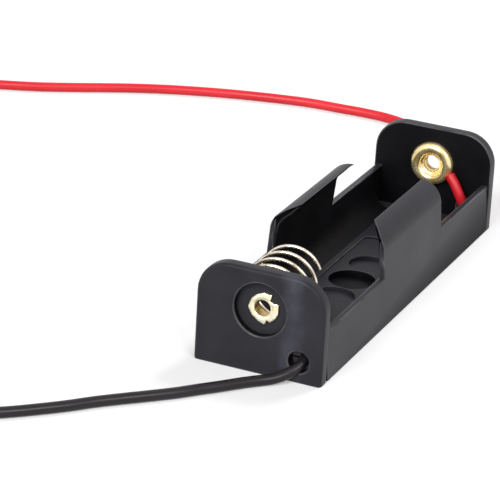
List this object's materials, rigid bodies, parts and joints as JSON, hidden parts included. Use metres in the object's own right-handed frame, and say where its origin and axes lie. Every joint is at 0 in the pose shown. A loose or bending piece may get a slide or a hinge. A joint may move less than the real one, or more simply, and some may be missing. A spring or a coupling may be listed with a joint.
{
  "type": "cylindrical cell holder",
  "caption": "Open-top moulded holder for a cylindrical cell, with snap-in arms, a conical spring contact, a riveted eyelet contact and a pair of wire leads.",
  "frame": {"origin": "middle of the underside of the moulding", "axes": "+Y from the spring end to the eyelet end along the cell, +Z out of the open top, +X to the side of the wire holes"},
  "size_m": [0.1007, 0.1275, 0.0135],
  "materials": {
    "black_moulding": "satin moulded polypropylene",
    "spring_wire": "bright nickel plated spring wire",
    "rivet_brass": "bright brass",
    "red_insulation": "smooth extruded PVC",
    "black_insulation": "smooth extruded PVC",
    "tinned_copper": "tinned copper strands",
    "tie": "thin white plastic strip"
  },
  "bodies": {
    "holder": {"holder_body": "black_moulding", "negative_rivet": "rivet_brass", "positive_eyelet": "rivet_brass", "red_lead": "red_insulation", "red_lead_coil": "red_insulation", "red_lead_tie": "tie", "red_lead_tip": "tinned_copper", "red_conductor": "tinned_copper", "black_lead": "black_insulation", "black_lead_coil": "black_insulation", "black_lead_tie": "tie", "black_lead_tip": "tinned_copper", "black_conductor": "tinned_copper"},
    "spring": {"contact_spring": "spring_wire"}
  },
  "joints": [
    {"name": "spring_travel", "type": "slide", "parent": "holder", "child": "spring", "axis": [0, -1, 0], "range_m": [0, 0.0053], "stiffness_N_per_m": 600, "deforming": ["contact_spring"]}
  ]
}
